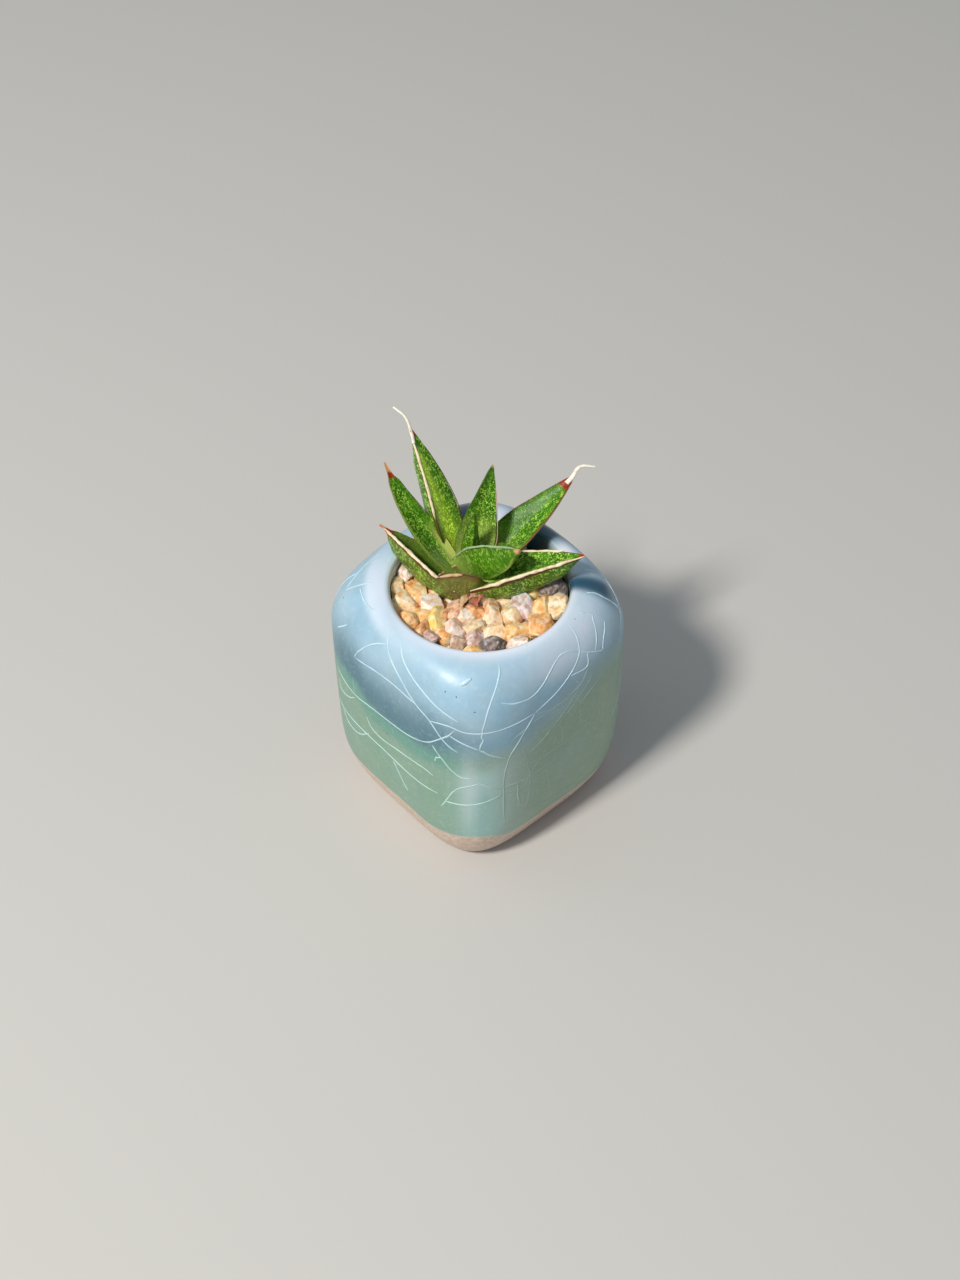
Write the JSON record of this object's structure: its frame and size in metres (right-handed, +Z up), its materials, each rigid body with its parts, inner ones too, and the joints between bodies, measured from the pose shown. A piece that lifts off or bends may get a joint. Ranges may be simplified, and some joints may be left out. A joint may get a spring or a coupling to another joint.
{
  "type": "potted haworthia",
  "caption": "Small rosette succulent with keeled, mottled, pale-edged leaves, set in coarse gravel in a rounded-square glazed ceramic pot with a round mouth.",
  "frame": {"origin": "centre of the pot's foot, on the plane that the pot stands on", "axes": "+Z up, along the pot's axis; the pot's flat faces look along X and Y; the picture is taken from -X and -Y, from above"},
  "size_m": [0.0666, 0.063, 0.099],
  "materials": {
    "glazed_ceramic": "glossy glaze",
    "soil": "matte",
    "gravel": "matte",
    "stem": "matte",
    "dried_leaf": "matte",
    "leaf": "satin"
  },
  "bodies": {
    "root": {"pot": "glazed_ceramic", "potting_soil": "soil", "gravel_top_dressing": "gravel", "stem_with_roots": "stem", "dried_leaf_remnants": "dried_leaf", "leaf_small_front": "leaf", "leaf_second_left": "leaf", "leaf_short_front": "leaf", "leaf_young_centre": "leaf", "leaf_low_left": "leaf", "leaf_low_right": "leaf", "leaf_upright_back": "leaf", "leaf_tall_left": "leaf", "leaf_long_right": "leaf"}
  },
  "joints": []
}
